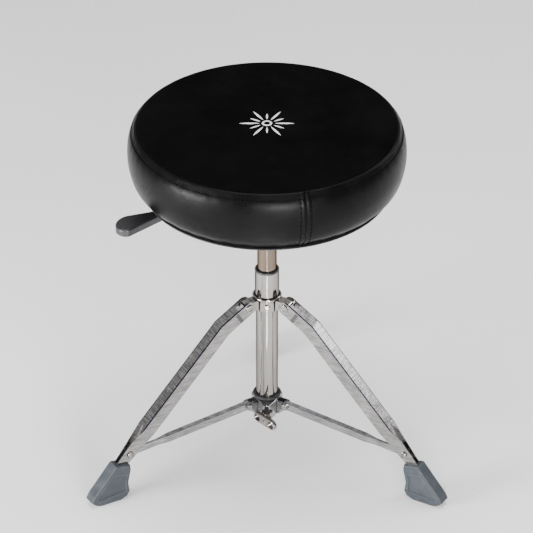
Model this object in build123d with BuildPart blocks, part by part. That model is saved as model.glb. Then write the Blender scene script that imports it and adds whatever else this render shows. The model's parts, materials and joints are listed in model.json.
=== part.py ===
from build123d import *
import math
import os

# Drum throne: gas-lift round seat on a folding three-legged stand.
# Millimetres, +Z up, origin on the floor under the column's axis.
# Legs point at LEG_AZIMUTHS; one leg points at +Y and two come forward.

# ---- driving dimensions ----
LEG_AZIMUTHS = (210, 330, 90)
FRONT = 270  # azimuth of the stand's front, between the first two legs
LEVER_AZIMUTH = 201

# column
TUBE_R = 15.875
TUBE_BORE_R = 14.375
TUBE_BOTTOM, TUBE_TOP = 66, 262
SLEEVE_R = 17.45
SLEEVE_BOTTOM, SLEEVE_TOP = 248, 308
BUSH_TOP = 311
HUB_R = 19.2
HUB_BOTTOM, HUB_TOP = 247, 266
ARM_WIDTH = 15.4
ARM_SHEET = 2.0

# legs: side view in (radius, height)
PIVOT = (33.75, 257.0)
LEG_BEND = (80.0, 241.0)
UPPER_SLOPE, LOWER_SLOPE = 59.0, 43.7  # degrees from vertical
LEG_DEPTH = 20.0
LEG_WIDTH = 19.0
LEG_SHEET = 1.6
BRACE_RIVET = (228.1, 69.3)
PINCH_WIDTH, FOOT_WIDTH = 10.2, 8.2
PIVOT_PIN_R = 3.0
RUNNING = 0.05  # radial clearance of every turning pin

# rubber feet
BOOT_WIDTH = 20.0

# braces
BRACE_PIVOT = (31.7, 86.4)
BRACE_HEIGHT = 11.0
BRACE_WIDTH = 8.0
BRACE_SHEET = 1.3
TONGUE_WIDTH = 3.4
TONGUE_LENGTH = 48.0
BRACE_PIN_R = 2.5

# sliding collar
COLLAR_TOP, COLLAR_BOTTOM = 95.5, 70.0
COLLAR_FLAT = 19.5
COLLAR_CORNER = 33.0  # front corner, which carries the wing screw
COLLAR_BACK_CORNER = 22.6
COLLAR_SHEET = 2.0
BUSH_BORE_R, BUSH_R = 15.93, 17.2
COLLAR_RING_R, COLLAR_RING_TOP = 20.5, 100.0
SCREW_Z = 82.0
SCREW_R = 4.0

# gas lift
CYLINDER_R, CYLINDER_BORE_R = 14.0, 12.5
CYLINDER_BOTTOM, CYLINDER_TOP = 185.0, 440.0
TAPER_BOTTOM, TAPER_TOP_R = 414.0, 13.4
ROD_R = 5.0
PISTON_BOTTOM, PISTON_TOP = 262.0, 274.0
VALVE_PIN_R = 3.0
VALVE_PIN_TOP = 442.2
BALL_R, BALL_RING_R, BALLS = 2.0, 9.0, 12

# seat
PLATE_SIDE, PLATE_BOTTOM, PLATE_TOP = 140.0, 446.9, 449.4
SOCKET_R = 19.0
BOLT_SQUARE = 110.0
BOLT_R = 3.0
BOARD_R, BOARD_BOTTOM, BOARD_TOP = 165.0, 450.0, 462.0
SEAT_R, EQUATOR_Z = 196.0, 505.0
PANEL_R, PANEL_EDGE_Z, CROWN_Z = 184.0, 543.0, 548.0
COVER = 2.0
TRIM_R, TRIM_TOP = 170.0, 454.5

# lever
LEVER_PIVOT = (30.0, 444.2)
LEVER_WIDTH, LEVER_SHEET = 12.0, 3.4
LEVER_PIN_R = 1.5

os.makedirs("parts", exist_ok=True)


def write(builder, name):
    """Label a finished piece and write it under its own name."""
    builder.part.label = name
    export_step(builder.part, f"parts/{name}.step")
    print(name, len(builder.part.solids()), round(builder.part.volume, 1))


def side_plane(azimuth):
    """Vertical plane through the axis: local X runs outward, local Y runs up."""
    a = math.radians(azimuth)
    return Plane(origin=(0, 0, 0), x_dir=(math.cos(a), math.sin(a), 0), z_dir=(math.sin(a), -math.cos(a), 0))


def radial_plane(azimuth, radius, height):
    """Plane facing outward at a radius: local X is tangential, local Y runs up."""
    a = math.radians(azimuth)
    centre = (radius * math.cos(a), radius * math.sin(a), height)
    return Plane(origin=centre, x_dir=(-math.sin(a), math.cos(a), 0), z_dir=(math.cos(a), math.sin(a), 0))


def down_slope(slope):
    """Unit vector in the side view that runs outward and down at an angle from vertical."""
    s = math.radians(slope)
    return (math.sin(s), -math.cos(s))


def along(start, slope, distance, inward=0.0):
    """Side-view point a distance down a slope, then square to it towards the inside."""
    u = down_slope(slope)
    return (
        start[0] + u[0] * distance + u[1] * inward,
        start[1] + u[1] * distance - u[0] * inward,
    )


def plan_plane(azimuth, start, slope):
    """Plane lying on a sloping member: local X runs down it, local Z points out of its back."""
    a = math.radians(azimuth)
    u = down_slope(slope)
    return Plane(
        origin=(start[0] * math.cos(a), start[0] * math.sin(a), start[1]),
        x_dir=(u[0] * math.cos(a), u[0] * math.sin(a), u[1]),
        z_dir=(-u[1] * math.cos(a), -u[1] * math.sin(a), u[0]),
    )


def ring(name, outer_r, inner_r, bottom, top, edge=0.0):
    """Plain turned ring, with both rims eased when an edge size is given."""
    with BuildPart() as piece:
        with BuildSketch(Plane.XY.offset(bottom)):
            Circle(outer_r)
            Circle(inner_r, mode=Mode.SUBTRACT)
        extrude(amount=top - bottom)
        if edge:
            fillet(piece.edges().filter_by(GeomType.CIRCLE).group_by(SortBy.RADIUS)[-1], edge)
    write(piece, name)


# ---- column, fixed ----
SCREW_HOLE_Z = 256.0
SCREW_HOLE_R = 2.5

with BuildPart() as base_tube:
    with BuildSketch(Plane.XY.offset(TUBE_BOTTOM)):
        Circle(TUBE_R)
        Circle(TUBE_BORE_R, mode=Mode.SUBTRACT)
    extrude(amount=TUBE_TOP - TUBE_BOTTOM)
    with BuildSketch(radial_plane(FRONT, 0, SCREW_HOLE_Z)):
        Circle(SCREW_HOLE_R)
    extrude(amount=SLEEVE_R + 2, mode=Mode.SUBTRACT)
write(base_tube, "base_tube")

with BuildPart() as column_sleeve:
    with BuildSketch(Plane.XY.offset(SLEEVE_BOTTOM)):
        Circle(SLEEVE_R)
        Circle(TUBE_R, mode=Mode.SUBTRACT)
    extrude(amount=SLEEVE_TOP - SLEEVE_BOTTOM)
    with BuildSketch(radial_plane(FRONT, 0, SCREW_HOLE_Z)):
        Circle(SCREW_HOLE_R)
    extrude(amount=SLEEVE_R + 2, mode=Mode.SUBTRACT)
write(column_sleeve, "column_sleeve")

with BuildPart() as guide_bush:
    with BuildSketch(Plane.XY.offset(TUBE_TOP)):
        Circle(TUBE_R)
    extrude(amount=SLEEVE_TOP - TUBE_TOP)
    with BuildSketch(Plane.XY.offset(SLEEVE_TOP)):
        Circle(SLEEVE_R)
    extrude(amount=BUSH_TOP - SLEEVE_TOP)
    fillet(guide_bush.edges().group_by(Axis.Z)[-1], 1.2)
    with BuildSketch(Plane.XY.offset(TUBE_TOP)):
        Circle(CYLINDER_R + RUNNING)
    extrude(amount=BUSH_TOP - TUBE_TOP, mode=Mode.SUBTRACT)
write(guide_bush, "guide_bush")

ARM_END_R = 7.6
ARM_TOP = 264.5
ARM_BOTTOM = 249.4
with BuildPart() as top_hub:
    with BuildSketch(Plane.XY.offset(HUB_BOTTOM)):
        Circle(HUB_R)
    extrude(amount=HUB_TOP - HUB_BOTTOM)
    with BuildSketch(Plane.XZ):
        with Locations((HUB_R, HUB_TOP)):
            Ellipse(1.9, 2.6)
    revolve(axis=Axis.Z)
    for azimuth in LEG_AZIMUTHS:
        with BuildSketch(side_plane(azimuth)):
            with BuildLine():
                Polyline(
                    (HUB_R - 1, ARM_BOTTOM),
                    (PIVOT[0], ARM_BOTTOM),
                )
                ThreePointArc(
                    (PIVOT[0], ARM_BOTTOM),
                    (PIVOT[0] + ARM_END_R, PIVOT[1]),
                    (PIVOT[0], 2 * PIVOT[1] - ARM_BOTTOM),
                )
                Polyline(
                    (PIVOT[0], 2 * PIVOT[1] - ARM_BOTTOM),
                    (HUB_R - 1, 2 * PIVOT[1] - ARM_BOTTOM),
                    (HUB_R - 1, ARM_BOTTOM),
                )
            make_face()
        extrude(amount=ARM_WIDTH / 2, both=True)
        with BuildSketch(side_plane(azimuth)):
            with Locations(((HUB_R + PIVOT[0] + ARM_END_R) / 2 + 1, ARM_BOTTOM + 5)):
                Rectangle(PIVOT[0] + ARM_END_R - HUB_R + 2, 2 * (ARM_TOP - ARM_BOTTOM - ARM_SHEET - 5))
        extrude(amount=ARM_WIDTH / 2 - ARM_SHEET, both=True, mode=Mode.SUBTRACT)
        with BuildSketch(side_plane(azimuth)):
            with Locations(PIVOT):
                Circle(PIVOT_PIN_R + RUNNING)
        extrude(amount=ARM_WIDTH, both=True, mode=Mode.SUBTRACT)
    with BuildSketch(Plane.XY.offset(HUB_BOTTOM)):
        Circle(SLEEVE_R)
    extrude(amount=HUB_TOP - HUB_BOTTOM + 5, mode=Mode.SUBTRACT)
    with BuildSketch(radial_plane(FRONT, 0, SCREW_HOLE_Z)):
        Circle(SCREW_HOLE_R)
    extrude(amount=HUB_R + 2, mode=Mode.SUBTRACT)
write(top_hub, "top_hub")

SCREW_HEAD_R, SCREW_HEAD_H = 4.5, 2.6
with BuildPart() as hub_screw:
    with BuildSketch(radial_plane(FRONT, TUBE_BORE_R + 0.1, SCREW_HOLE_Z)):
        Circle(SCREW_HOLE_R)
    extrude(amount=HUB_R - TUBE_BORE_R)
    with BuildSketch(radial_plane(FRONT, HUB_R + 0.1, SCREW_HOLE_Z)):
        Circle(SCREW_HEAD_R)
    extrude(amount=SCREW_HEAD_H)
    fillet(hub_screw.edges().filter_by(GeomType.CIRCLE).group_by(Axis.Y)[0], SCREW_HEAD_H - 0.3)
write(hub_screw, "hub_screw")

END_PLATE_TOP = 71.0
WASHER = 2.0
ring("tube_end_plate", TUBE_BORE_R, ROD_R + RUNNING, TUBE_BOTTOM, END_PLATE_TOP)
ring("lower_race", 12.5, ROD_R + 1.0, END_PLATE_TOP, END_PLATE_TOP + WASHER)

# ---- spindle, turns with the seat ----
BALL_Z = END_PLATE_TOP + WASHER + BALL_R + 0.02
RACE_BOTTOM = BALL_Z + BALL_R
RACE_TOP = RACE_BOTTOM + WASHER
CLIP_GROOVE_BOTTOM = 62.4
with BuildPart() as piston_rod:
    with BuildSketch(Plane.XY.offset(CLIP_GROOVE_BOTTOM - 2)):
        Circle(ROD_R)
    extrude(amount=PISTON_BOTTOM - CLIP_GROOVE_BOTTOM + 2)
    with BuildSketch(Plane.XY.offset(CLIP_GROOVE_BOTTOM)):
        Circle(ROD_R)
        Circle(ROD_R - 1, mode=Mode.SUBTRACT)
    extrude(amount=1.2, mode=Mode.SUBTRACT)
    chamfer(piston_rod.edges().group_by(Axis.Z)[0], 0.6)
write(piston_rod, "piston_rod")

with BuildPart() as piston:
    with BuildSketch(Plane.XY.offset(PISTON_BOTTOM)):
        Circle(CYLINDER_BORE_R - RUNNING)
    extrude(amount=PISTON_TOP - PISTON_BOTTOM)
    with BuildSketch(Plane.XY.offset(PISTON_BOTTOM + 4.5)):
        Circle(CYLINDER_BORE_R)
        Circle(CYLINDER_BORE_R - 2, mode=Mode.SUBTRACT)
    extrude(amount=3, mode=Mode.SUBTRACT)
write(piston, "piston")
ring("piston_seal", CYLINDER_BORE_R - 0.03, CYLINDER_BORE_R - 2, PISTON_BOTTOM + 4.5, PISTON_BOTTOM + 7.5)
ring("upper_race", 12.5, ROD_R, RACE_BOTTOM, RACE_TOP)

with BuildPart() as bearing_balls:
    with PolarLocations(BALL_RING_R, BALLS):
        with Locations((0, 0, BALL_Z)):
            Sphere(BALL_R)
write(bearing_balls, "bearing_balls")

with BuildPart() as bearing_cage:
    with BuildSketch(Plane.XY.offset(BALL_Z - 0.6)):
        Circle(BALL_RING_R + 2.8)
        Circle(BALL_RING_R - 2.8, mode=Mode.SUBTRACT)
    extrude(amount=1.2)
    with BuildSketch(Plane.XY.offset(BALL_Z - 0.6)):
        with PolarLocations(BALL_RING_R, BALLS):
            Circle(BALL_R)
    extrude(amount=1.2, mode=Mode.SUBTRACT)
write(bearing_cage, "bearing_cage")

with BuildPart() as retaining_clip:
    with BuildSketch(Plane.XY.offset(CLIP_GROOVE_BOTTOM)):
        Circle(ROD_R + 4)
        Circle(ROD_R - 1, mode=Mode.SUBTRACT)
        with Locations((0, -ROD_R - 2)):
            Rectangle(7, 7, mode=Mode.SUBTRACT)
    extrude(amount=1.2)
write(retaining_clip, "retaining_clip")
ring("rod_washer", ROD_R + 5, ROD_R, CLIP_GROOVE_BOTTOM + 1.2, TUBE_BOTTOM - 0.1)
ring("stop_bumper", 11.5, ROD_R, RACE_TOP, 92.0, 1.5)

# ---- gas lift and seat structure ----
with BuildPart() as gas_cylinder:
    with BuildSketch(Plane.XZ):
        with BuildLine():
            Polyline(
                (ROD_R + 1.5, CYLINDER_BOTTOM),
                (CYLINDER_R - 1, CYLINDER_BOTTOM),
                (CYLINDER_R, CYLINDER_BOTTOM + 1),
                (CYLINDER_R, TAPER_BOTTOM),
                (TAPER_TOP_R, CYLINDER_TOP),
                (VALVE_PIN_R + 2, CYLINDER_TOP),
                (VALVE_PIN_R + 2, CYLINDER_TOP - 1.2),
                (CYLINDER_BORE_R - 0.4, CYLINDER_TOP - 1.2),
                (CYLINDER_BORE_R - 0.4, TAPER_BOTTOM + 3),
                (CYLINDER_BORE_R, TAPER_BOTTOM),
                (CYLINDER_BORE_R, CYLINDER_BOTTOM + 1.2),
                (ROD_R + 1.5, CYLINDER_BOTTOM + 1.2),
                close=True,
            )
        make_face()
    revolve(axis=Axis.Z)
write(gas_cylinder, "gas_cylinder")
ring("rod_guide", CYLINDER_BORE_R, ROD_R + RUNNING, CYLINDER_BOTTOM + 1.2, CYLINDER_BOTTOM + 10)
ring("rod_seal", CYLINDER_BORE_R, ROD_R + RUNNING, CYLINDER_BOTTOM + 10, CYLINDER_BOTTOM + 14)

VALVE_BOTTOM = 417.0
with BuildPart() as valve_block:
    with BuildSketch(Plane.XY.offset(VALVE_BOTTOM)):
        Circle(CYLINDER_BORE_R - 0.4)
    extrude(amount=CYLINDER_TOP - 1.2 - VALVE_BOTTOM)
    with BuildSketch(Plane.XY.offset(VALVE_BOTTOM + 4)):
        Circle(VALVE_PIN_R + RUNNING)
    extrude(amount=CYLINDER_TOP - VALVE_BOTTOM, mode=Mode.SUBTRACT)
    with BuildSketch(Plane.XY.offset(VALVE_BOTTOM)):
        Circle(1.0)
    extrude(amount=4, mode=Mode.SUBTRACT)
write(valve_block, "valve_block")

with BuildPart() as valve_pin:
    with BuildSketch(Plane.XY.offset(VALVE_BOTTOM + 7)):
        Circle(VALVE_PIN_R)
    extrude(amount=VALVE_PIN_TOP - VALVE_BOTTOM - 7)
    fillet(valve_pin.edges().group_by(Axis.Z)[-1], 1.5)
write(valve_pin, "valve_pin")

EAR_GAP = LEVER_WIDTH / 2 + 0.2
EAR_SHEET = 2.2
with BuildPart() as seat_socket:
    with BuildSketch(Plane.XY.offset(TAPER_BOTTOM - 2)):
        Circle(SOCKET_R)
    extrude(amount=PLATE_BOTTOM - TAPER_BOTTOM + 2)
    with BuildSketch(Plane.XZ):
        with BuildLine():
            Polyline(
                (0, TAPER_BOTTOM - 3),
                (CYLINDER_R, TAPER_BOTTOM - 3),
                (CYLINDER_R, TAPER_BOTTOM),
                (TAPER_TOP_R, CYLINDER_TOP),
                (TAPER_TOP_R, PLATE_BOTTOM),
                (0, PLATE_BOTTOM),
                close=True,
            )
        make_face()
    revolve(axis=Axis.Z, mode=Mode.SUBTRACT)
    with BuildSketch(radial_plane(LEVER_AZIMUTH, 0, CYLINDER_TOP)):
        with Locations((0, 5)):
            Rectangle(2 * EAR_GAP + 1, 10)
    extrude(amount=SOCKET_R + 2, mode=Mode.SUBTRACT)
    for side in (-1, 1):
        face = side_plane(LEVER_AZIMUTH).offset(side * (EAR_GAP + EAR_SHEET / 2))
        with BuildSketch(face):
            with Locations(((SOCKET_R - 2 + LEVER_PIVOT[0] + 6) / 2, PLATE_BOTTOM - 4.45)):
                Rectangle(LEVER_PIVOT[0] + 6 - SOCKET_R + 2, 8.9)
            with Locations(LEVER_PIVOT):
                Circle(LEVER_PIN_R, mode=Mode.SUBTRACT)
        extrude(amount=EAR_SHEET / 2, both=True)
write(seat_socket, "seat_socket")

with BuildPart() as lever_pin:
    with BuildSketch(side_plane(LEVER_AZIMUTH)):
        with Locations(LEVER_PIVOT):
            Circle(LEVER_PIN_R)
    extrude(amount=EAR_GAP + EAR_SHEET + 1, both=True)
write(lever_pin, "lever_pin")

with BuildPart() as mount_plate:
    with BuildSketch(Plane.XY.offset(PLATE_BOTTOM)):
        RectangleRounded(PLATE_SIDE, PLATE_SIDE, 12)
        with GridLocations(BOLT_SQUARE, BOLT_SQUARE, 2, 2):
            Circle(BOLT_R, mode=Mode.SUBTRACT)
    extrude(amount=PLATE_TOP - PLATE_BOTTOM)
write(mount_plate, "mount_plate")

with BuildPart() as plate_bolts:
    with BuildSketch(Plane.XY.offset(PLATE_BOTTOM - 4)):
        with GridLocations(BOLT_SQUARE, BOLT_SQUARE, 2, 2):
            RegularPolygon(5.5, 6)
    extrude(amount=4)
    with BuildSketch(Plane.XY.offset(PLATE_BOTTOM)):
        with GridLocations(BOLT_SQUARE, BOLT_SQUARE, 2, 2):
            Circle(BOLT_R)
    extrude(amount=BOARD_TOP - 1 - PLATE_BOTTOM)
write(plate_bolts, "plate_bolts")

NUT_BARREL_R, NUT_FLANGE_R, NUT_FLANGE = 4.2, 9.5, 1.5
with BuildPart() as tee_nuts:
    with BuildSketch(Plane.XY.offset(BOARD_BOTTOM)):
        with GridLocations(BOLT_SQUARE, BOLT_SQUARE, 2, 2):
            Circle(NUT_BARREL_R)
            Circle(BOLT_R, mode=Mode.SUBTRACT)
    extrude(amount=BOARD_TOP - NUT_FLANGE - BOARD_BOTTOM)
    with BuildSketch(Plane.XY.offset(BOARD_TOP - NUT_FLANGE)):
        with GridLocations(BOLT_SQUARE, BOLT_SQUARE, 2, 2):
            Circle(NUT_FLANGE_R)
            Circle(BOLT_R, mode=Mode.SUBTRACT)
    extrude(amount=NUT_FLANGE)
write(tee_nuts, "tee_nuts")

with BuildPart() as seat_board:
    with BuildSketch(Plane.XY.offset(BOARD_BOTTOM)):
        Circle(BOARD_R)
        with GridLocations(BOLT_SQUARE, BOLT_SQUARE, 2, 2):
            Circle(NUT_BARREL_R, mode=Mode.SUBTRACT)
    extrude(amount=BOARD_TOP - BOARD_BOTTOM)
    with BuildSketch(Plane.XY.offset(BOARD_TOP - NUT_FLANGE)):
        with GridLocations(BOLT_SQUARE, BOLT_SQUARE, 2, 2):
            Circle(NUT_FLANGE_R)
    extrude(amount=NUT_FLANGE, mode=Mode.SUBTRACT)
write(seat_board, "seat_board")

with BuildPart() as dust_cover:
    with BuildSketch(Plane.XY.offset(PLATE_TOP)):
        Circle(BOARD_R - 1)
        with GridLocations(BOLT_SQUARE, BOLT_SQUARE, 2, 2):
            Circle(BOLT_R, mode=Mode.SUBTRACT)
    extrude(amount=BOARD_BOTTOM - PLATE_TOP)
write(dust_cover, "dust_cover")

# ---- upholstery ----
COVER_BOTTOM = TRIM_TOP
OUTER_SIDE = [
    (TRIM_R - 1, COVER_BOTTOM),
    (SEAT_R - 8, 476.5),
    (SEAT_R, EQUATOR_Z),
    (SEAT_R - 3.2, 527.5),
    (PANEL_R, PANEL_EDGE_Z),
]
INNER_SIDE = [
    (TRIM_R - 1 - COVER, COVER_BOTTOM),
    (SEAT_R - 8 - COVER, 477.5),
    (SEAT_R - COVER, EQUATOR_Z),
    (SEAT_R - 3.2 - COVER, 526.8),
    (PANEL_R - 1.4, PANEL_EDGE_Z - 1.6),
]
CROWN_RIM = (PANEL_R, -2 * (CROWN_Z - PANEL_EDGE_Z))  # slope of the crown at the panel's seam

with BuildPart() as side_cover:
    with BuildSketch(Plane.XZ):
        with BuildLine():
            Spline(*OUTER_SIDE)
            Line(OUTER_SIDE[-1], INNER_SIDE[-1])
            Spline(*INNER_SIDE)
            Line(INNER_SIDE[0], OUTER_SIDE[0])
        make_face()
    revolve(axis=Axis.Z)
write(side_cover, "side_cover")

with BuildPart() as top_panel:
    with BuildSketch(Plane.XZ):
        with BuildLine():
            Spline((0, CROWN_Z), (PANEL_R, PANEL_EDGE_Z), tangents=[(1, 0), CROWN_RIM])
            Line((PANEL_R, PANEL_EDGE_Z), INNER_SIDE[-1])
            Spline((0, CROWN_Z - COVER), INNER_SIDE[-1], tangents=[(1, 0), CROWN_RIM])
            Line((0, CROWN_Z - COVER), (0, CROWN_Z))
        make_face()
    revolve(axis=Axis.Z)
write(top_panel, "top_panel")

with BuildPart() as foam_cushion:
    with BuildSketch(Plane.XZ):
        with BuildLine():
            Spline(*INNER_SIDE)
            Spline((0, CROWN_Z - COVER), INNER_SIDE[-1], tangents=[(1, 0), CROWN_RIM])
            Polyline(
                (0, CROWN_Z - COVER),
                (0, BOARD_TOP),
                (BOARD_R, BOARD_TOP),
                (BOARD_R, COVER_BOTTOM),
                INNER_SIDE[0],
            )
        make_face()
    revolve(axis=Axis.Z)
write(foam_cushion, "foam_cushion")

with BuildPart() as edge_trim:
    with BuildSketch(Plane.XZ):
        with BuildLine():
            Polyline(
                (TRIM_R - 1.6, PLATE_TOP),
                (BOARD_R, PLATE_TOP),
                (BOARD_R, TRIM_TOP),
                (TRIM_R - 1.2, TRIM_TOP),
            )
            RadiusArc((TRIM_R - 1.2, TRIM_TOP), (TRIM_R - 1.4, 452.0), 1.4)
            RadiusArc((TRIM_R - 1.4, 452.0), (TRIM_R - 1.6, PLATE_TOP), 1.4)
        make_face()
    revolve(axis=Axis.Z)
write(edge_trim, "edge_trim")

RAYS = 12
with BuildPart() as seat_emblem:
    with BuildSketch(Plane.XY.offset(CROWN_Z)):
        Circle(7)
        Circle(4.6, mode=Mode.SUBTRACT)
        with PolarLocations(0, RAYS // 2):
            with Locations((24.5, 0)):
                Ellipse(13.5, 2.0)
        with PolarLocations(0, RAYS // 2, start_angle=360 / RAYS):
            with Locations((19.0, 0)):
                Ellipse(8.0, 1.6)
    extrude(amount=0.4)
write(seat_emblem, "seat_emblem")

# ---- height lever ----
ARM_KINK = (LEVER_PIVOT[0] + 5, LEVER_PIVOT[1])
ARM_OUTER_END = (176.0, 431.5)
HALF = LEVER_SHEET / 2
with BuildPart() as lever_arm:
    with BuildSketch(side_plane(LEVER_AZIMUTH)):
        with BuildLine():
            Polyline(
                (-4, LEVER_PIVOT[1] - HALF),
                (ARM_KINK[0], ARM_KINK[1] - HALF),
                (ARM_OUTER_END[0], ARM_OUTER_END[1] - HALF),
                (ARM_OUTER_END[0], ARM_OUTER_END[1] + HALF),
                (ARM_KINK[0], ARM_KINK[1] + HALF),
                (-4, LEVER_PIVOT[1] + HALF),
                close=True,
            )
        make_face()
        with Locations(LEVER_PIVOT):
            Circle(LEVER_PIN_R + 1.0)
            Circle(LEVER_PIN_R + RUNNING, mode=Mode.SUBTRACT)
    extrude(amount=LEVER_WIDTH / 2, both=True)
write(lever_arm, "lever_arm")

PADDLE_TOP, PADDLE_BOTTOM = 438.0, 427.5
PADDLE_POCKET = 5.0
PADDLE_ROOT = (150.0, 6.0)  # where the blade starts, and half its width there
FAR_EDGE, NEAR_EDGE = (206.0, -8.5), (212.0, 29.0)
TIP = [(220.0, -3.0), (228.5, 9.0), (228.0, 22.0), (221.0, 29.5)]
HOLLOW = [(180, -4), (206, -5), (216, -1), (224, 10), (224, 20), (219, 25.5), (212.5, 25), (180, 9.5)]
RIBS = (191, 201, 211)
with BuildPart() as lever_paddle:
    lever_top = Plane(origin=(0, 0, PADDLE_BOTTOM), x_dir=side_plane(LEVER_AZIMUTH).x_dir, z_dir=(0, 0, 1))
    with BuildSketch(lever_top) as blade:
        with BuildLine():
            Polyline(
                NEAR_EDGE,
                (PADDLE_ROOT[0] + 8, PADDLE_ROOT[1] + 0.5),
                PADDLE_ROOT,
                (PADDLE_ROOT[0], -PADDLE_ROOT[1]),
                FAR_EDGE,
            )
            Spline(FAR_EDGE, *TIP, NEAR_EDGE)
        make_face()
    extrude(amount=PADDLE_TOP - PADDLE_BOTTOM)
    fillet(lever_paddle.edges().group_by(Axis.Z)[-1], 2.6)
    # ribbed hollow under the blade
    with BuildSketch(lever_top):
        with BuildLine():
            Polyline(*HOLLOW, close=True)
        make_face()
        for x in RIBS:
            with Locations((x, 10)):
                Rectangle(1.8, 60, mode=Mode.SUBTRACT)
    extrude(amount=PADDLE_POCKET, mode=Mode.SUBTRACT)
    add(lever_arm.part, mode=Mode.SUBTRACT)
write(lever_paddle, "lever_paddle")


# ---- legs ----
WEB_START_R = 51.0
NOTCH_EDGE, NOTCH_TOP = -27.0, -49.0
LEG_END = 40.0
TAPER_START, TAPER = 14.0, 4.5  # the back slopes in from above the lower rivet to the foot
RIVET_ALONG = (BRACE_RIVET[0] - LEG_BEND[0]) * down_slope(LOWER_SLOPE)[0]
RIVET_ALONG += (BRACE_RIVET[1] - LEG_BEND[1]) * down_slope(LOWER_SLOPE)[1]


def strip_outline(shift, reach, end):
    """Side view of the leg's strip: rounded end at the pivot, one bend, straight to the foot."""
    half_bend = (UPPER_SLOPE - LOWER_SLOPE) / 2
    middle_slope = (UPPER_SLOPE + LOWER_SLOPE) / 2
    inner_corner = along(LEG_BEND, middle_slope, 0, (LEG_DEPTH + reach) / math.cos(math.radians(half_bend)))
    outer_corner = along(LEG_BEND, middle_slope, 0, shift / math.cos(math.radians(half_bend)))
    top_back = along(PIVOT, UPPER_SLOPE, 0, -(10.1 - shift))
    top_front = along(PIVOT, UPPER_SLOPE, 0, LEG_DEPTH - 10.1 + reach)
    top_tip = along(PIVOT, UPPER_SLOPE, -(LEG_DEPTH / 2 - shift))
    with BuildLine() as line:
        ThreePointArc(top_front, top_tip, top_back)
        Polyline(
            top_back,
            outer_corner,
            along(LEG_BEND, LOWER_SLOPE, RIVET_ALONG - TAPER_START, shift),
            along(LEG_BEND, LOWER_SLOPE, RIVET_ALONG + end, shift + TAPER),
            along(LEG_BEND, LOWER_SLOPE, RIVET_ALONG + end, LEG_DEPTH - 3 + reach),
            along(LEG_BEND, LOWER_SLOPE, RIVET_ALONG, LEG_DEPTH + reach),
            inner_corner,
            top_front,
        )
    return line


def leg_plan(plane, inset, x_from):
    """Outline of the leg seen square to its back: parallel, then pinched towards the foot."""
    full = LEG_WIDTH / 2 - inset
    pinch = PINCH_WIDTH / 2 - inset
    foot = FOOT_WIDTH / 2 - inset
    with BuildSketch(plane) as plan:
        with BuildLine():
            Polyline(
                (x_from, -full),
                (NOTCH_TOP + 4, -full),
                (NOTCH_EDGE + 14, -pinch),
                (16, -foot),
                (LEG_END + 20, -foot),
                (LEG_END + 20, foot),
                (16, foot),
                (NOTCH_EDGE + 14, pinch),
                (NOTCH_TOP + 4, full),
                (x_from, full),
                close=True,
            )
        make_face()
    return plan


def make_leg(azimuth, name):
    """U-shaped pressed channel, open inward, with a notch in its back above the lower rivet."""
    side = side_plane(azimuth)
    back = plan_plane(azimuth, along(LEG_BEND, LOWER_SLOPE, RIVET_ALONG, LEG_DEPTH / 2), LOWER_SLOPE)
    with BuildPart() as cavity:
        outline = strip_outline(LEG_SHEET, 12.0, LEG_END + 1)
        with BuildSketch(side):
            add(outline.line)
            make_face()
        extrude(amount=LEG_WIDTH, both=True)
        inner_plan = leg_plan(back, LEG_SHEET, -300)
        extrude(inner_plan.sketch, amount=60, both=True, mode=Mode.INTERSECT)
    with BuildPart() as leg:
        outline = strip_outline(0.0, 0.0, LEG_END)
        with BuildSketch(side):
            add(outline.line)
            make_face()
        extrude(amount=LEG_WIDTH / 2, both=True)
        outer_plan = leg_plan(back, 0.0, -300)
        extrude(outer_plan.sketch, amount=60, both=True, mode=Mode.INTERSECT)
        add(cavity.part, mode=Mode.SUBTRACT)
        # back left open around the top pivot
        with BuildSketch(side):
            with Locations((WEB_START_R - 40, PIVOT[1] + 20)):
                Rectangle(80, 60)
        extrude(amount=LEG_WIDTH / 2 - LEG_SHEET, both=True, mode=Mode.SUBTRACT)
        # notch above the lower rivet
        with BuildSketch(back):
            with BuildLine():
                Polyline(
                    (NOTCH_EDGE, -(LEG_WIDTH / 2 - LEG_SHEET)),
                    (NOTCH_TOP + 6, -2.8),
                )
                ThreePointArc((NOTCH_TOP + 6, -2.8), (NOTCH_TOP + 2.6, 0), (NOTCH_TOP + 6, 2.8))
                Polyline(
                    (NOTCH_TOP + 6, 2.8),
                    (NOTCH_EDGE, LEG_WIDTH / 2 - LEG_SHEET),
                    (LEG_END + 2, LEG_WIDTH / 2 - LEG_SHEET),
                    (LEG_END + 2, -(LEG_WIDTH / 2 - LEG_SHEET)),
                    (NOTCH_EDGE, -(LEG_WIDTH / 2 - LEG_SHEET)),
                )
            make_face()
            add(inner_plan.sketch_local, mode=Mode.INTERSECT)
        extrude(amount=LEG_DEPTH, mode=Mode.SUBTRACT)
        with BuildSketch(side):
            with Locations(PIVOT):
                Circle(PIVOT_PIN_R)
            with Locations(BRACE_RIVET):
                Circle(BRACE_PIN_R)
        extrude(amount=LEG_WIDTH, both=True, mode=Mode.SUBTRACT)
    write(leg, name)
    return leg


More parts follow.
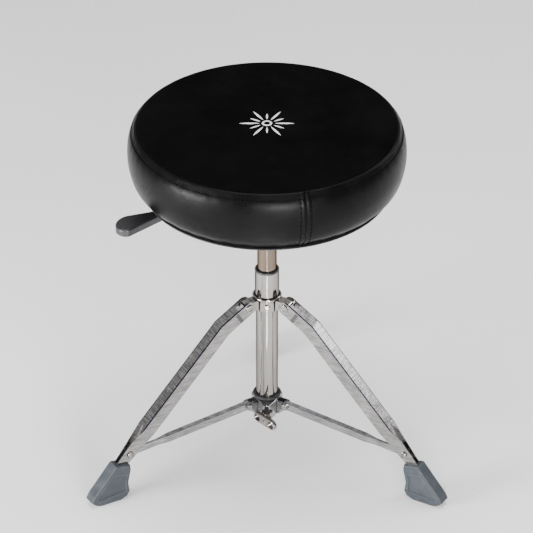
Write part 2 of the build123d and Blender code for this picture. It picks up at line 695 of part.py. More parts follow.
def make_pivot_pin(azimuth, name):
    """Top rivet: shank through the arm and both flanges, a washer-like domed head each side."""
    side = side_plane(azimuth)
    with BuildPart() as pin:
        with BuildSketch(side):
            with Locations(PIVOT):
                Circle(PIVOT_PIN_R)
        extrude(amount=LEG_WIDTH / 2, both=True)
        for sign in (-1, 1):
            with BuildSketch(side.offset(sign * LEG_WIDTH / 2)):
                with Locations(PIVOT):
                    Circle(6.0)
            extrude(amount=sign * 1.6)
        fillet(pin.edges().filter_by(GeomType.CIRCLE).filter_by(lambda e: e.radius > 5.9), 0.6)
        for sign in (-1, 1):
            with BuildSketch(side.offset(sign * (LEG_WIDTH / 2 + 1.7))):
                with Locations(PIVOT):
                    Circle(3.4)
            extrude(amount=-sign * 1.0, mode=Mode.SUBTRACT)
    write(pin, name)


def make_brace_rivet(azimuth, name):
    """Lower rivet as two headed halves, one in each flange, with the tongue's space left free."""
    side = side_plane(azimuth)
    inner = PINCH_WIDTH / 2 - LEG_SHEET
    outer = PINCH_WIDTH / 2
    with BuildPart() as rivet:
        for sign in (-1, 1):
            with BuildSketch(side.offset(sign * (inner - 0.1))):
                with Locations(BRACE_RIVET):
                    Circle(BRACE_PIN_R)
            extrude(amount=sign * (outer - inner + 0.1))
            with BuildSketch(side.offset(sign * (outer - 0.25))):
                with Locations(BRACE_RIVET):
                    Circle(5.0)
            extrude(amount=sign * 2.6)
        fillet(rivet.edges().filter_by(GeomType.CIRCLE).filter_by(lambda e: e.radius > 4.9), 1.1)
    write(rivet, name)


BOOT_OUTLINE = [(230.0, 47.6), (231.0, 55.0), (254.0, 59.0), (290.0, 17.0), (294.0, 9.0), (289.0, 4.6)]
SOLE_IN, SOLE_OUT = (247.0, 0.0), (276.0, 0.0)
HEEL = (232.6, 11.5)


def make_boot(azimuth, name, leg):
    """Moulded rubber foot: pocket for the leg's end, recessed side panels, flat sole."""
    side = side_plane(azimuth)
    with BuildPart() as boot:
        with BuildSketch(side):
            with BuildLine():
                Polyline(
                    SOLE_IN,
                    (236.5, 4.5),
                    HEEL,
                    (234.6, 26.0),
                    *BOOT_OUTLINE,
                )
                ThreePointArc(BOOT_OUTLINE[-1], (283.5, 1.4), SOLE_OUT)
                Line(SOLE_OUT, SOLE_IN)
            make_face()
        extrude(amount=BOOT_WIDTH / 2, both=True)
        outer_edges = boot.edges().filter_by(lambda e: abs(e.center().Z) > 0.3)
        face_at = BOOT_WIDTH / 2 - 0.01
        rim = outer_edges.filter_by(lambda e: abs(side.to_local_coords(e.center()).Z) > face_at)
        fillet(rim, 1.6)
        for sign in (-1, 1):
            with BuildSketch(side.offset(sign * BOOT_WIDTH / 2)):
                with BuildLine():
                    Polyline(
                        (238.0, 12.5),
                        (239.5, 30.0),
                        (236.5, 39.5),
                        (259.0, 45.0),
                        (285.0, 14.0),
                        (283.0, 9.0),
                        close=True,
                    )
                make_face()
            extrude(amount=-sign * 1.4, mode=Mode.SUBTRACT)
        # pocket that the leg's pinched end fills
        pocket = plan_plane(azimuth, along(LEG_BEND, LOWER_SLOPE, RIVET_ALONG, LEG_DEPTH / 2), LOWER_SLOPE)
        with BuildSketch(pocket.offset(-LEG_DEPTH / 2 + 3)):
            with Locations((LEG_END / 2 + 3, 0)):
                Rectangle(LEG_END - 6, FOOT_WIDTH - 2 * LEG_SHEET)
        extrude(amount=LEG_DEPTH - 3 - TAPER - LEG_SHEET, mode=Mode.SUBTRACT)
        add(leg.part, mode=Mode.SUBTRACT)
    write(boot, name)


def make_brace(azimuth, name):
    """Thin channel from the collar to the leg, open below, ending in a flat tongue."""
    side = side_plane(azimuth)
    run = (BRACE_RIVET[0] - BRACE_PIVOT[0], BRACE_RIVET[1] - BRACE_PIVOT[1])
    length = math.hypot(*run)
    slope = math.degrees(math.atan2(run[0], -run[1]))
    plan = plan_plane(azimuth, BRACE_PIVOT, slope)
    taper = length - TONGUE_LENGTH
    with BuildPart() as brace:
        with BuildSketch(side):
            with BuildLine():
                Polyline(
                    along(BRACE_PIVOT, slope, 0, -BRACE_HEIGHT / 2),
                    along(BRACE_PIVOT, slope, taper - 17, -BRACE_HEIGHT / 2),
                    along(BRACE_PIVOT, slope, taper, -4.9),
                    along(BRACE_PIVOT, slope, length, -4.9),
                )
                ThreePointArc(
                    along(BRACE_PIVOT, slope, length, -4.9),
                    along(BRACE_PIVOT, slope, length + 4.9, 0),
                    along(BRACE_PIVOT, slope, length, 4.9),
                )
                Polyline(
                    along(BRACE_PIVOT, slope, length, 4.9),
                    along(BRACE_PIVOT, slope, taper, 4.9),
                    along(BRACE_PIVOT, slope, taper - 17, BRACE_HEIGHT / 2),
                    along(BRACE_PIVOT, slope, 0, BRACE_HEIGHT / 2),
                )
                ThreePointArc(
                    along(BRACE_PIVOT, slope, 0, BRACE_HEIGHT / 2),
                    along(BRACE_PIVOT, slope, -BRACE_HEIGHT / 2, 0),
                    along(BRACE_PIVOT, slope, 0, -BRACE_HEIGHT / 2),
                )
            make_face()
        extrude(amount=BRACE_WIDTH / 2, both=True)
        with BuildSketch(plan):
            with BuildLine():
                Polyline(
                    (-10, -BRACE_WIDTH / 2),
                    (taper - 17, -BRACE_WIDTH / 2),
                    (taper, -TONGUE_WIDTH / 2),
                    (length + 10, -TONGUE_WIDTH / 2),
                    (length + 10, TONGUE_WIDTH / 2),
                    (taper, TONGUE_WIDTH / 2),
                    (taper - 17, BRACE_WIDTH / 2),
                    (-10, BRACE_WIDTH / 2),
                    close=True,
                )
            make_face()
        extrude(amount=20, both=True, mode=Mode.INTERSECT)
        with BuildSketch(plan.offset(BRACE_HEIGHT / 2 - BRACE_SHEET)):
            with BuildLine():
                Polyline(
                    (-10, -BRACE_WIDTH / 2 + BRACE_SHEET),
                    (taper - 18, -BRACE_WIDTH / 2 + BRACE_SHEET),
                    (taper - 4, -0.5),
                    (taper - 4, 0.5),
                    (taper - 18, BRACE_WIDTH / 2 - BRACE_SHEET),
                    (-10, BRACE_WIDTH / 2 - BRACE_SHEET),
                    close=True,
                )
            make_face()
        extrude(amount=-20, mode=Mode.SUBTRACT)
        with BuildSketch(side):
            with Locations(BRACE_PIVOT):
                Circle(BRACE_PIN_R + RUNNING)
            with Locations(BRACE_RIVET):
                Circle(BRACE_PIN_R + 0.2)
        extrude(amount=BRACE_WIDTH, both=True, mode=Mode.SUBTRACT)
    write(brace, name)


for number, azimuth in enumerate(LEG_AZIMUTHS, start=1):
    leg = make_leg(azimuth, f"leg_{number}")
    make_pivot_pin(azimuth, f"leg_pivot_{number}")
    make_brace_rivet(azimuth, f"brace_rivet_{number}")
    make_boot(azimuth, f"rubber_foot_{number}", leg)
    make_brace(azimuth, f"brace_{number}")

# ---- sliding collar ----
with BuildPart() as collar_bush:
    with BuildSketch(Plane.XY.offset(COLLAR_BOTTOM + 2)):
        Circle(BUSH_R)
    extrude(amount=COLLAR_TOP - COLLAR_BOTTOM - 2)
    with BuildSketch(Plane.XY.offset(COLLAR_TOP)):
        Circle(COLLAR_RING_R)
    extrude(amount=COLLAR_RING_TOP - COLLAR_TOP)
    fillet(collar_bush.edges().filter_by(GeomType.CIRCLE).group_by(SortBy.RADIUS)[-1], 1.3)
    with BuildSketch(Plane.XY.offset(COLLAR_BOTTOM)):
        Circle(BUSH_BORE_R)
    extrude(amount=40, mode=Mode.SUBTRACT)
    with BuildSketch(radial_plane(FRONT, 0, SCREW_Z)):
        Circle(SCREW_R)
    extrude(amount=30, mode=Mode.SUBTRACT)
write(collar_bush, "collar_bush")

EAR_IN = BRACE_WIDTH / 2 + 0.2
EAR_END_R = 6.2


def collar_outline(inset):
    """Flats square to the legs, a nose at the front for the wing screw, the back corners cut short."""
    with BuildSketch(Plane.XY.offset(COLLAR_BOTTOM)) as outline:
        Circle(COLLAR_BACK_CORNER - inset)
        with Locations((0, -(COLLAR_CORNER - inset) / 2)):
            Rectangle(2 * COLLAR_FLAT, COLLAR_CORNER - inset)
        for azimuth in LEG_AZIMUTHS:
            a = math.radians(azimuth)
            reach = COLLAR_FLAT - inset + 30
            with Locations(Location((reach * math.cos(a), reach * math.sin(a)), azimuth)):
                Rectangle(60, 120, mode=Mode.SUBTRACT)
    return outline


with BuildPart() as collar_cap:
    outline = collar_outline(0.0)
    extrude(outline.sketch, amount=COLLAR_TOP - COLLAR_BOTTOM)
    fillet(collar_cap.edges().filter_by(Axis.Z), 3.0)
    fillet(collar_cap.edges().group_by(Axis.Z)[-1], 1.2)
    outline = collar_outline(COLLAR_SHEET)
    extrude(outline.sketch, amount=COLLAR_TOP - COLLAR_BOTTOM - COLLAR_SHEET, mode=Mode.SUBTRACT)
    for azimuth in LEG_AZIMUTHS:
        for sign in (-1, 1):
            face = side_plane(azimuth).offset(sign * EAR_IN)
            with BuildSketch(face):
                with BuildLine():
                    Polyline(
                        (BRACE_PIVOT[0], BRACE_PIVOT[1] + EAR_END_R),
                        (COLLAR_FLAT - 0.6, BRACE_PIVOT[1] + EAR_END_R),
                        (COLLAR_FLAT - 0.6, COLLAR_BOTTOM + 2),
                        (COLLAR_FLAT + 3, COLLAR_BOTTOM + 2),
                        (BRACE_PIVOT[0], BRACE_PIVOT[1] - EAR_END_R),
                    )
                    ThreePointArc(
                        (BRACE_PIVOT[0], BRACE_PIVOT[1] - EAR_END_R),
                        (BRACE_PIVOT[0] + EAR_END_R, BRACE_PIVOT[1]),
                        (BRACE_PIVOT[0], BRACE_PIVOT[1] + EAR_END_R),
                    )
                make_face()
                with Locations(BRACE_PIVOT):
                    Circle(BRACE_PIN_R, mode=Mode.SUBTRACT)
            extrude(amount=sign * COLLAR_SHEET)
    with BuildSketch(Plane.XY.offset(COLLAR_BOTTOM)):
        Circle(BUSH_R)
    extrude(amount=40, mode=Mode.SUBTRACT)
    with BuildSketch(radial_plane(FRONT, 0, SCREW_Z)):
        Circle(SCREW_R + 3.5)
    extrude(amount=COLLAR_CORNER, mode=Mode.SUBTRACT)
write(collar_cap, "collar_cap")

with BuildPart() as clamp_nut:
    with BuildSketch(radial_plane(FRONT, BUSH_R + 1.2, SCREW_Z)):
        Circle(SCREW_R + 3.5)
        Circle(SCREW_R + RUNNING, mode=Mode.SUBTRACT)
    extrude(amount=COLLAR_CORNER + 2.0 - BUSH_R - 1.2)
write(clamp_nut, "clamp_nut")

with BuildPart() as collar_pins:
    for azimuth in LEG_AZIMUTHS:
        side = side_plane(azimuth)
        with BuildSketch(side):
            with Locations(BRACE_PIVOT):
                Circle(BRACE_PIN_R)
        extrude(amount=EAR_IN + COLLAR_SHEET, both=True)
        for sign in (-1, 1):
            with BuildSketch(side.offset(sign * (EAR_IN + COLLAR_SHEET))):
                with Locations(BRACE_PIVOT):
                    Circle(4.2)
            extrude(amount=sign * 1.8)
    fillet(collar_pins.edges().filter_by(GeomType.CIRCLE).filter_by(lambda e: e.radius > 4.1), 0.8)
write(collar_pins, "collar_pins")

# ---- wing screw ----
SCREW_TIP_R = TUBE_R + 0.06
WING_HUB_IN, WING_HUB_OUT = 44.0, 56.0
WING_BACK = 48.2  # clears the collar's front face through a full turn
WING_TILT = -48.0
WING_SPAN, WING_HEIGHT, LOBE_AT = 44.0, 15.0, 14.2
with BuildPart() as wing_screw:
    with BuildSketch(radial_plane(FRONT, SCREW_TIP_R, SCREW_Z)):
        Circle(SCREW_R)
    extrude(amount=WING_HUB_OUT - 3 - SCREW_TIP_R)
write(wing_screw, "wing_screw")

with BuildPart() as wing_grip:
    wing_face = radial_plane(FRONT, WING_BACK, SCREW_Z).rotated((0, 0, WING_TILT))
    with BuildSketch(wing_face):
        SlotOverall(WING_SPAN, WING_HEIGHT)
    extrude(amount=6.5)
    fillet(wing_grip.edges(), 1.4)
    with BuildSketch(radial_plane(FRONT, WING_HUB_IN, SCREW_Z)):
        Circle(6.6)
    extrude(amount=WING_HUB_OUT - WING_HUB_IN, taper=6)
    with BuildSketch(wing_face.offset(6.5)):
        with Locations((LOBE_AT, 0), (-LOBE_AT, 0)):
            Ellipse(5.7, 5.5)
    extrude(amount=-3.2, mode=Mode.SUBTRACT)
    with BuildSketch(radial_plane(FRONT, WING_HUB_IN - 1, SCREW_Z)):
        Circle(SCREW_R)
    extrude(amount=WING_HUB_OUT - 3 - WING_HUB_IN + 1, mode=Mode.SUBTRACT)
write(wing_grip, "wing_grip")
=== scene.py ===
import json
import math

import bmesh
import bpy
import numpy as np
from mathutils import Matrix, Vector


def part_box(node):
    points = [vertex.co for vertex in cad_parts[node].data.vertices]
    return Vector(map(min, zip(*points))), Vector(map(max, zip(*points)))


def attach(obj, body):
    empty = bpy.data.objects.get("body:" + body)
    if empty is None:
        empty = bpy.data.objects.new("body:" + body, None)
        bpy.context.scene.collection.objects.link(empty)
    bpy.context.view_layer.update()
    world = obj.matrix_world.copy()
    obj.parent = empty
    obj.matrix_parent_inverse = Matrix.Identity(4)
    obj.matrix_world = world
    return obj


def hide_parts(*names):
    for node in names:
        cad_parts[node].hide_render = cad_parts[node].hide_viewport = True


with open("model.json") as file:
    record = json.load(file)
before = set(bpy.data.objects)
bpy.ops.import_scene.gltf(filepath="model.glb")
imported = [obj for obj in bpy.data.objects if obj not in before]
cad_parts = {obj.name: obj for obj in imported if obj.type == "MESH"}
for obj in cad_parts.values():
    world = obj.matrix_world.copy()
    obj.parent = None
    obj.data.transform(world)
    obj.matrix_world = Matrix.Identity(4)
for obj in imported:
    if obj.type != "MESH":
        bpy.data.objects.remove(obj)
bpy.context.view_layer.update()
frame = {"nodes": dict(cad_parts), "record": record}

# Metres. The column's axis is X = Y = 0, the floor is Z = 0, the front is -Y.
LOW, HIGH = (np.array(v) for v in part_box("side_cover"))
TOP_LOW, TOP_HIGH = (np.array(v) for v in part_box("top_panel"))
TRIM_LOW, TRIM_HIGH = (np.array(v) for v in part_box("edge_trim"))
SEAT_R = (HIGH[0] - LOW[0]) / 2
PANEL_R = (TOP_HIGH[0] - TOP_LOW[0]) / 2
TRIM_R = (TRIM_HIGH[0] - TRIM_LOW[0]) / 2
SEAM_Z = HIGH[2]
CROWN_Z = TOP_HIGH[2]
COVER_Z = LOW[2]
MM = 0.001


# ---------------------------------------------------------------- camera
def make_camera():
    """Long lens, looking along +Y and down, as the object's catalogue view has it."""
    distance, elevation = 5.6, math.radians(32.0)
    target = Vector((-0.0007, 0.0, 0.3127))
    data = bpy.data.cameras.new("camera")
    data.sensor_width = 36.0
    data.lens = 266.0
    data.clip_end = 50.0
    camera = bpy.data.objects.new("camera", data)
    bpy.context.scene.collection.objects.link(camera)
    camera.location = target + distance * Vector((0.0, -math.cos(elevation), math.sin(elevation)))
    camera.rotation_euler = (math.pi / 2 - elevation, 0.0, 0.0)
    bpy.context.scene.camera = camera


# ---------------------------------------------------------------- node helpers
def new_material(name):
    material = bpy.data.materials.new(name)
    material.use_nodes = True
    nodes = material.node_tree.nodes
    return material, nodes, material.node_tree.links, nodes["Principled BSDF"]


def coords(nodes):
    return nodes.new("ShaderNodeTexCoord").outputs["Object"]


def mapped(nodes, links, source, scale=(1, 1, 1), rotation=(0, 0, 0)):
    node = nodes.new("ShaderNodeMapping")
    node.inputs["Scale"].default_value = scale
    node.inputs["Rotation"].default_value = rotation
    links.new(source, node.inputs["Vector"])
    return node.outputs["Vector"]


def noise(nodes, links, source, scale, detail=3.0, roughness=0.5):
    node = nodes.new("ShaderNodeTexNoise")
    node.inputs["Scale"].default_value = scale
    node.inputs["Detail"].default_value = detail
    node.inputs["Roughness"].default_value = roughness
    links.new(source, node.inputs["Vector"])
    return node.outputs["Fac"]


def voronoi(nodes, links, source, scale, feature="F1"):
    node = nodes.new("ShaderNodeTexVoronoi")
    node.feature = feature
    node.inputs["Scale"].default_value = scale
    links.new(source, node.inputs["Vector"])
    return node.outputs["Distance"]


def ramp(nodes, links, source, stops):
    node = nodes.new("ShaderNodeValToRGB")
    node.color_ramp.elements[0].position = stops[0][0]
    node.color_ramp.elements[0].color = (*stops[0][1], 1)
    node.color_ramp.elements[1].position = stops[-1][0]
    node.color_ramp.elements[1].color = (*stops[-1][1], 1)
    for place, colour in stops[1:-1]:
        node.color_ramp.elements.new(place).color = (*colour, 1)
    links.new(source, node.inputs["Fac"])
    return node.outputs["Color"]


def paint(nodes, links, shader, source, stops):
    """Base colour taken from a ramp over a mask."""
    links.new(ramp(nodes, links, source, stops), shader.inputs["Base Color"])


def remap(nodes, links, source, low, high, in_low=0.0, in_high=1.0):
    node = nodes.new("ShaderNodeMapRange")
    node.inputs["From Min"].default_value = in_low
    node.inputs["From Max"].default_value = in_high
    node.inputs["To Min"].default_value = low
    node.inputs["To Max"].default_value = high
    links.new(source, node.inputs["Value"])
    return node.outputs["Result"]


def bump(nodes, links, height, strength, distance, before=None):
    node = nodes.new("ShaderNodeBump")
    node.inputs["Strength"].default_value = strength
    node.inputs["Distance"].default_value = distance
    links.new(height, node.inputs["Height"])
    if before is not None:
        links.new(before, node.inputs["Normal"])
    return node.outputs["Normal"]


# ---------------------------------------------------------------- materials
def edge_mask(nodes, links, radius, low, high):
    """High close to a sharp edge, low on open faces, from how far a rounded normal leans."""
    bevel = nodes.new("ShaderNodeBevel")
    bevel.samples = 6
    bevel.inputs["Radius"].default_value = radius
    face = nodes.new("ShaderNodeNewGeometry")
    dot = nodes.new("ShaderNodeVectorMath")
    dot.operation = "DOT_PRODUCT"
    links.new(bevel.outputs["Normal"], dot.inputs[0])
    links.new(face.outputs["Normal"], dot.inputs[1])
    return remap(nodes, links, dot.outputs["Value"], 1.0, 0.0, low, high)


def blend_colour(nodes, links, mask, first, second, kind="MIX"):
    """Mix of two colours, each a socket or a value, by a mask socket or a number."""
    mix = nodes.new("ShaderNodeMix")
    mix.data_type = "RGBA"
    mix.blend_type = kind
    if isinstance(mask, float):
        mix.inputs["Factor"].default_value = mask
    else:
        links.new(mask, mix.inputs["Factor"])
    for name, value in (("A", first), ("B", second)):
        if isinstance(value, tuple):
            mix.inputs[name].default_value = (*value, 1)
        else:
            links.new(value, mix.inputs[name])
    return mix.outputs["Result"]


def chrome(name, colour, rough):
    """Plated tube: fine vertical polishing marks, soft smudges, and painted dark reflection lines where
    edges turn over.
    """
    material, nodes, links, shader = new_material(name)
    at = coords(nodes)
    drawn = noise(nodes, links, mapped(nodes, links, at, (1, 1, 0.02)), 130.0, 5.0, 0.6)
    dark, mid = (tuple(c * k for c in colour) for k in (0.42, 0.86))
    tint = ramp(nodes, links, drawn, [(0.34, dark), (0.45, mid), (0.64, colour)])
    painted_edge_reflection = edge_mask(nodes, links, 0.9 * MM, 0.80, 0.985)
    # painted reflection: the edges are darkened in the base colour, standing in for the dark horizon
    # mirrored in a rounded edge
    tint = blend_colour(nodes, links, painted_edge_reflection, tint, (0.10, 0.11, 0.14))
    links.new(tint, shader.inputs["Base Color"])
    shader.inputs["Metallic"].default_value = 1.0
    shader.inputs["Specular Tint"].default_value = (0.12, 0.12, 0.14, 1)
    marks = noise(nodes, links, mapped(nodes, links, at, (1, 1, 0.12)), 900.0, 2.0)
    links.new(remap(nodes, links, marks, rough * 0.7, rough * 1.4, 0.3, 0.7), shader.inputs["Roughness"])
    wave = noise(nodes, links, mapped(nodes, links, at, (1, 1, 0.25)), 90.0, 2.0)
    links.new(bump(nodes, links, wave, 0.22, 0.0006), shader.inputs["Normal"])
    return material


def dot_with(nodes, links, source, vector):
    node = nodes.new("ShaderNodeVectorMath")
    node.operation = "DOT_PRODUCT"
    node.inputs[1].default_value = vector
    links.new(source, node.inputs[0])
    return node.outputs["Value"]


def maths(nodes, links, operation, first, second=None):
    node = nodes.new("ShaderNodeMath")
    node.operation = operation
    links.new(first, node.inputs[0])
    if second is not None:
        links.new(second, node.inputs[1])
    return node.outputs["Value"]


LEGS = {"leg_1": 210.0, "leg_2": 330.0, "leg_3": 90.0}  # azimuth of each leg, degrees
LEG_SLOPES = (59.0, 43.7)  # degrees from upright, above and below the bend in the leg
LEG_BEND = (0.080, 0.241)  # radius and height of the bend in the leg's back
LEG_PIVOT = (0.03375, 0.257)  # radius and height of the leg's top pin


def leg_painted_shade(nodes, links, at, azimuth):
    """Masks for a painted dark reflection line where a leg's back rolls into its flanges, and for a painted
    shade band where the flange steps out below its pin.
    """
    turned = mapped(nodes, links, at, rotation=(0, 0, -math.radians(azimuth)))
    depths = []
    for slope in LEG_SLOPES:
        t = math.radians(slope)
        outward = (math.cos(t), 0.0, math.sin(t))
        reach = outward[0] * LEG_BEND[0] + outward[2] * LEG_BEND[1]
        level = dot_with(nodes, links, turned, outward)
        depths.append(remap(nodes, links, level, 1.0, 0.0, reach - 1.0, reach))
    depth = maths(nodes, links, "MINIMUM", *depths)
    skin = remap(nodes, links, depth, 1.0, 0.0, 1.0 * MM, 1.8 * MM)
    width = maths(nodes, links, "ABSOLUTE", dot_with(nodes, links, turned, (0, 1, 0)))
    corner = remap(nodes, links, width, 0.0, 1.0, 7.7 * MM, 8.3 * MM)
    painted_fold_line = maths(nodes, links, "MULTIPLY", skin, corner)
    t = math.radians(LEG_SLOPES[0])
    down = (math.sin(t), 0.0, -math.cos(t))
    start = down[0] * LEG_PIVOT[0] + down[2] * LEG_PIVOT[1]
    run = dot_with(nodes, links, turned, down)
    rise = remap(nodes, links, run, 0.0, 1.0, start + 16.2 * MM, start + 17.2 * MM)
    fall = remap(nodes, links, run, 1.0, 0.0, start + 22.0 * MM, start + 23.0 * MM)
    below = remap(nodes, links, depth, 0.0, 1.0, 2.0 * MM, 3.0 * MM)
    painted_step_band = maths(nodes, links, "MULTIPLY", maths(nodes, links, "MULTIPLY", rise, fall), below)
    return painted_fold_line, painted_step_band


def pressed_chrome(name, colour, rough, azimuth=None):
    """Plated pressing: cross-grain ripples from the press, cloudy polish, and painted dark reflections along
    turned edges (on the legs, also a painted dark band below the pin).
    """
    material, nodes, links, shader = new_material(name)
    at = coords(nodes)
    cloud = noise(nodes, links, mapped(nodes, links, at, (1, 1, 1.6)), 60.0, 5.0, 0.65)
    streak = noise(nodes, links, mapped(nodes, links, at, (0.06, 0.06, 1)), 760.0, 4.0, 0.7)
    tint = ramp(nodes, links, streak, [(0.38, tuple(c * 0.48 for c in colour)), (0.60, colour)])
    shade = ramp(nodes, links, cloud, [(0.34, (0.72, 0.72, 0.73)), (0.62, (1, 1, 1))])
    tint = blend_colour(nodes, links, 1.0, tint, shade, "MULTIPLY")
    if azimuth is None:
        painted_edge_reflection = edge_mask(nodes, links, 2 * MM, 0.84, 0.975)
        # painted reflection: braces and cap get their turned edges darkened in the base colour
        tint = blend_colour(nodes, links, painted_edge_reflection, tint, (0.03, 0.03, 0.06))
    else:
        painted_fold_line, painted_step_band = leg_painted_shade(nodes, links, at, azimuth)
        # painted shade: a dark band across the flange just below the pin
        tint = blend_colour(nodes, links, painted_step_band, tint, (0.12, 0.115, 0.11))
        # painted reflection: a dark line where the leg's back turns into its flanges
        tint = blend_colour(nodes, links, painted_fold_line, tint, (0.02, 0.02, 0.04))
    links.new(tint, shader.inputs["Base Color"])
    shader.inputs["Metallic"].default_value = 1.0
    links.new(remap(nodes, links, cloud, rough * 0.7, rough * 1.5, 0.3, 0.7), shader.inputs["Roughness"])
    normal = bump(nodes, links, streak, 0.16, 0.0003)
    links.new(bump(nodes, links, cloud, 0.08, 0.001, normal), shader.inputs["Normal"])
    return material


def steel():
    material, nodes, links, shader = new_material("turned_steel")
    at = coords(nodes)
    lines = noise(nodes, links, mapped(nodes, links, at, (1, 1, 12)), 300.0, 3.0)
    paint(nodes, links, shader, lines, [(0.3, (0.38, 0.38, 0.39)), (0.7, (0.58, 0.58, 0.59))])
    shader.inputs["Metallic"].default_value = 1.0
    links.new(remap(nodes, links, lines, 0.25, 0.45), shader.inputs["Roughness"])
    links.new(bump(nodes, links, lines, 0.25, 0.0002), shader.inputs["Normal"])
    return material


def painted():
    material, nodes, links, shader = new_material("black_paint")
    at = coords(nodes)
    peel = noise(nodes, links, at, 420.0, 2.0)
    cloud = noise(nodes, links, at, 30.0)
    paint(nodes, links, shader, cloud, [(0.3, (0.010, 0.010, 0.011)), (0.7, (0.02, 0.02, 0.021))])
    links.new(remap(nodes, links, peel, 0.32, 0.48), shader.inputs["Roughness"])
    links.new(bump(nodes, links, peel, 0.2, 0.0002), shader.inputs["Normal"])
    return material


def plastic(name, dark, light, rough):
    """Moulded plastic with a fine spark-eroded grain."""
    material, nodes, links, shader = new_material(name)
    at = coords(nodes)
    cloud = noise(nodes, links, at, 45.0, 3.0)
    paint(nodes, links, shader, cloud, [(0.3, dark), (0.7, light)])
    grain = noise(nodes, links, at, 2200.0, 2.0)
    links.new(remap(nodes, links, grain, rough * 0.85, rough * 1.15), shader.inputs["Roughness"])
    links.new(bump(nodes, links, grain, 0.25, 0.00015), shader.inputs["Normal"])
    return material


def rubber():
    """Moulded slate-grey rubber: dusty bloom in the hollows, fine pores, and a painted highlight along its
    edges.
    """
    material, nodes, links, shader = new_material("slate_rubber")
    at = coords(nodes)
    bloom = noise(nodes, links, at, 70.0, 5.0, 0.65)
    stops = [(0.30, (0.018, 0.023, 0.028)), (0.55, (0.030, 0.037, 0.044)), (0.75, (0.050, 0.058, 0.067))]
    tint = ramp(nodes, links, bloom, stops)
    painted_edge_highlight = edge_mask(nodes, links, 0.0012, 0.84, 0.97)
    # painted highlight: the edges are lightened in the base colour
    links.new(blend_colour(nodes, links, painted_edge_highlight, tint, (0.13, 0.14, 0.155)), shader.inputs["Base Color"])
    links.new(remap(nodes, links, bloom, 0.48, 0.68, 0.3, 0.7), shader.inputs["Roughness"])
    pores = noise(nodes, links, at, 1500.0, 3.0)
    normal = bump(nodes, links, pores, 0.35, 0.0003)
    links.new(bump(nodes, links, bloom, 0.15, 0.001, normal), shader.inputs["Normal"])
    return material


def vinyl():
    """Black upholstery vinyl: leather grain of small cells, soft satin sheen."""
    material, nodes, links, shader = new_material("black_vinyl")
    at = coords(nodes)
    cells = voronoi(nodes, links, at, 950.0, "DISTANCE_TO_EDGE")
    creases = remap(nodes, links, cells, 0.0, 1.0, 0.0, 0.10)
    soft = noise(nodes, links, at, 24.0, 4.0, 0.6)
    paint(nodes, links, shader, soft, [(0.3, (0.0018, 0.0018, 0.0020)), (0.7, (0.0034, 0.0034, 0.0037))])
    links.new(remap(nodes, links, soft, 0.26, 0.34, 0.3, 0.7), shader.inputs["Roughness"])
    shader.inputs["Specular IOR Level"].default_value = 0.10
    shader.inputs["IOR"].default_value = 1.42
    normal = bump(nodes, links, creases, 0.28, 0.00012)
    fine = noise(nodes, links, at, 2600.0, 2.0)
    normal = bump(nodes, links, fine, 0.15, 0.0001, normal)
    links.new(bump(nodes, links, soft, 0.12, 0.004, normal), shader.inputs["Normal"])
    return material


def velour():
    """Short black pile: matt, faint brushed clouds and a few light flecks of lint."""
    material, nodes, links, shader = new_material("black_velour")
    at = coords(nodes)
    cloud = noise(nodes, links, at, 16.0, 5.0, 0.62)
    pile = noise(nodes, links, at, 1400.0, 3.0, 0.7)
    base = ramp(nodes, links, cloud, [(0.35, (0.0014, 0.0014, 0.0015)), (0.70, (0.0034, 0.0034, 0.0036))])
    specks = noise(nodes, links, at, 640.0, 1.0)
    fleck = ramp(nodes, links, specks, [(0.76, (0, 0, 0)), (0.82, (0.02, 0.02, 0.02))])
    links.new(blend_colour(nodes, links, 1.0, base, fleck, "ADD"), shader.inputs["Base Color"])
    shader.inputs["Roughness"].default_value = 1.0
    shader.inputs["Specular IOR Level"].default_value = 0.02
    shader.inputs["Sheen Weight"].default_value = 0.012
    shader.inputs["Sheen Roughness"].default_value = 0.4
    normal = bump(nodes, links, pile, 0.8, 0.0006)
    links.new(bump(nodes, links, cloud, 0.2, 0.004, normal), shader.inputs["Normal"])
    return material


def thread(name, dark, light):
    """Matt thread, mottled by its fibres."""
    material, nodes, links, shader = new_material(name)
    at = coords(nodes)
    fibre = noise(nodes, links, at, 2600.0, 2.0)
    paint(nodes, links, shader, fibre, [(0.3, dark), (0.7, light)])
    shader.inputs["Roughness"].default_value = 0.85
    shader.inputs["Specular IOR Level"].default_value = 0.02
    links.new(bump(nodes, links, fibre, 0.5, 0.0002), shader.inputs["Normal"])
    return material


def wood():
    material, nodes, links, shader = new_material("birch_plywood")
    at = coords(nodes)
    plies = noise(nodes, links, mapped(nodes, links, at, (1, 1, 60)), 14.0, 4.0)
    paint(nodes, links, shader, plies, [(0.3, (0.36, 0.23, 0.12)), (0.7, (0.58, 0.42, 0.25))])
    shader.inputs["Roughness"].default_value = 0.7
    links.new(bump(nodes, links, plies, 0.3, 0.0005), shader.inputs["Normal"])
    return material


def dust_cloth():
    material, nodes, links, shader = new_material("dust_cloth")
    at = coords(nodes)
    web = voronoi(nodes, links, at, 700.0)
    paint(nodes, links, shader, web, [(0.1, (0.006, 0.006, 0.006)), (0.8, (0.020, 0.020, 0.021))])
    shader.inputs["Roughness"].default_value = 0.92
    links.new(bump(nodes, links, web, 0.5, 0.0004), shader.inputs["Normal"])
    return material


MATERIALS = {}

